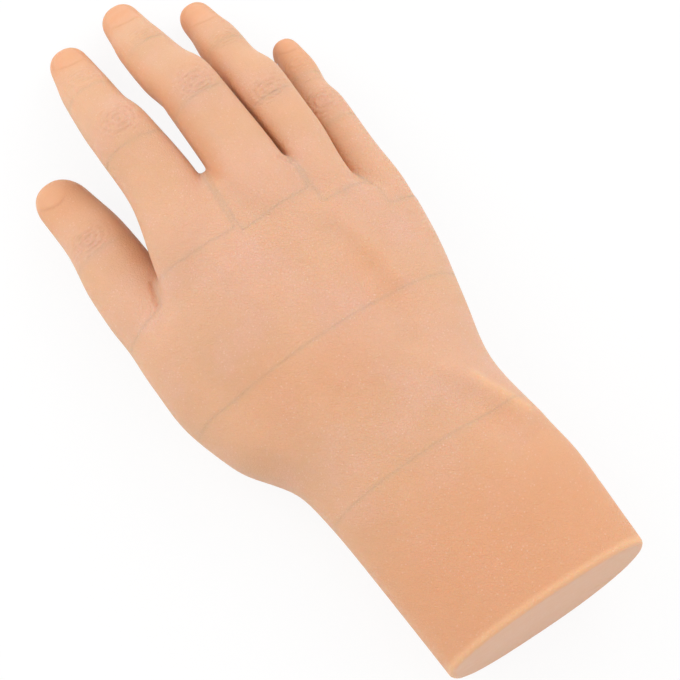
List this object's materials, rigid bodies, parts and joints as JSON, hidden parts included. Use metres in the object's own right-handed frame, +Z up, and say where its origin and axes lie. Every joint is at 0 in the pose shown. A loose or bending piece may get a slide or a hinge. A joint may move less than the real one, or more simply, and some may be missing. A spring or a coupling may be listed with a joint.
{
  "type": "hand mannequin",
  "caption": "Life-size silicone right hand, palm down with gently bent fingers and a flat-cut wrist; hinged links inside let the fingers and thumb bend and stay put.",
  "frame": {"origin": "middle of the underside of the hand's box, lying palm down", "axes": "+Y from the wrist to the fingertips, +X towards the little finger, +Z up from the palm to the back of the hand"},
  "size_m": [0.0974, 0.2306, 0.0489],
  "materials": {
    "silicone_skin": "soft matte skin-coloured silicone",
    "core_nylon": "moulded natural nylon",
    "link_aluminium": "satin",
    "pin_steel": "ground",
    "rod_steel": "drawn bar"
  },
  "bodies": {
    "palm": {"palm_skin": "silicone_skin", "palm_core": "core_nylon", "wrist_rod": "rod_steel", "index_knuckle_pin": "pin_steel", "middle_knuckle_pin": "pin_steel", "ring_knuckle_pin": "pin_steel", "little_knuckle_pin": "pin_steel", "thumb_knuckle_pin": "pin_steel"},
    "index_base": {"index_base_skin": "silicone_skin", "index_base_link": "link_aluminium", "index_middle_pin": "pin_steel"},
    "index_middle": {"index_middle_skin": "silicone_skin", "index_middle_link": "link_aluminium", "index_tip_pin": "pin_steel"},
    "index_tip": {"index_tip_skin": "silicone_skin", "index_tip_link": "link_aluminium"},
    "middle_base": {"middle_base_skin": "silicone_skin", "middle_base_link": "link_aluminium", "middle_middle_pin": "pin_steel"},
    "middle_middle": {"middle_middle_skin": "silicone_skin", "middle_middle_link": "link_aluminium", "middle_tip_pin": "pin_steel"},
    "middle_tip": {"middle_tip_skin": "silicone_skin", "middle_tip_link": "link_aluminium"},
    "ring_base": {"ring_base_skin": "silicone_skin", "ring_base_link": "link_aluminium", "ring_middle_pin": "pin_steel"},
    "ring_middle": {"ring_middle_skin": "silicone_skin", "ring_middle_link": "link_aluminium", "ring_tip_pin": "pin_steel"},
    "ring_tip": {"ring_tip_skin": "silicone_skin", "ring_tip_link": "link_aluminium"},
    "little_base": {"little_base_skin": "silicone_skin", "little_base_link": "link_aluminium", "little_middle_pin": "pin_steel"},
    "little_middle": {"little_middle_skin": "silicone_skin", "little_middle_link": "link_aluminium", "little_tip_pin": "pin_steel"},
    "little_tip": {"little_tip_skin": "silicone_skin", "little_tip_link": "link_aluminium"},
    "thumb_base": {"thumb_base_skin": "silicone_skin", "thumb_base_link": "link_aluminium", "thumb_tip_pin": "pin_steel"},
    "thumb_tip": {"thumb_tip_skin": "silicone_skin", "thumb_tip_link": "link_aluminium"}
  },
  "joints": [
    {"name": "index_knuckle", "type": "hinge", "parent": "palm", "child": "index_base", "pos_m": [-0.01479, 0.03049, 0.034], "axis": [-0.9998, 0.0209, 0], "range_deg": [-8, 32]},
    {"name": "index_middle", "type": "hinge", "parent": "index_base", "child": "index_middle", "pos_m": [-0.01395, 0.07058, 0.0312], "axis": [-0.9998, 0.0209, 0], "range_deg": [-18, 45]},
    {"name": "index_tip", "type": "hinge", "parent": "index_middle", "child": "index_tip", "pos_m": [-0.0135, 0.09223, 0.02016], "axis": [-0.9998, 0.0209, 0], "range_deg": [-10, 28]},
    {"name": "middle_knuckle", "type": "hinge", "parent": "palm", "child": "middle_base", "pos_m": [0.00941, 0.02819, 0.0375], "axis": [-0.9998, -0.0209, 0], "range_deg": [-8, 32]},
    {"name": "middle_middle", "type": "hinge", "parent": "middle_base", "child": "middle_middle", "pos_m": [0.00852, 0.07057, 0.03454], "axis": [-0.9998, -0.0209, 0], "range_deg": [-18, 45]},
    {"name": "middle_tip", "type": "hinge", "parent": "middle_middle", "child": "middle_tip", "pos_m": [0.00802, 0.09423, 0.02195], "axis": [-0.9998, -0.0209, 0], "range_deg": [-10, 28]},
    {"name": "ring_knuckle", "type": "hinge", "parent": "palm", "child": "ring_base", "pos_m": [0.02701, 0.02249, 0.0335], "axis": [-1, 0, 0], "range_deg": [-8, 32]},
    {"name": "ring_middle", "type": "hinge", "parent": "ring_base", "child": "ring_middle", "pos_m": [0.02701, 0.06064, 0.03016], "axis": [-1, 0, 0], "range_deg": [-18, 45]},
    {"name": "ring_tip", "type": "hinge", "parent": "ring_middle", "child": "ring_tip", "pos_m": [0.02701, 0.08266, 0.01942], "axis": [-1, 0, 0], "range_deg": [-10, 28]},
    {"name": "little_knuckle", "type": "hinge", "parent": "palm", "child": "little_base", "pos_m": [0.03901, 0.01329, 0.025], "axis": [-0.9978, 0.0663, 0], "range_deg": [-8, 32]},
    {"name": "little_middle", "type": "hinge", "parent": "little_base", "child": "little_middle", "pos_m": [0.04116, 0.04574, 0.02158], "axis": [-0.9978, 0.0663, 0], "range_deg": [-18, 45]},
    {"name": "little_tip", "type": "hinge", "parent": "little_middle", "child": "little_tip", "pos_m": [0.04223, 0.06187, 0.01438], "axis": [-0.9978, 0.0663, 0], "range_deg": [-10, 28]},
    {"name": "thumb_knuckle", "type": "hinge", "parent": "palm", "child": "thumb_base", "pos_m": [-0.03729, 0.02329, 0.0195], "axis": [-0.9894, -0.0415, -0.1392], "range_deg": [-6, 22]},
    {"name": "thumb_tip", "type": "hinge", "parent": "thumb_base", "child": "thumb_tip", "pos_m": [-0.03786, 0.05193, 0.01501], "axis": [-0.9894, -0.0415, -0.1392], "range_deg": [-10, 35]}
  ]
}
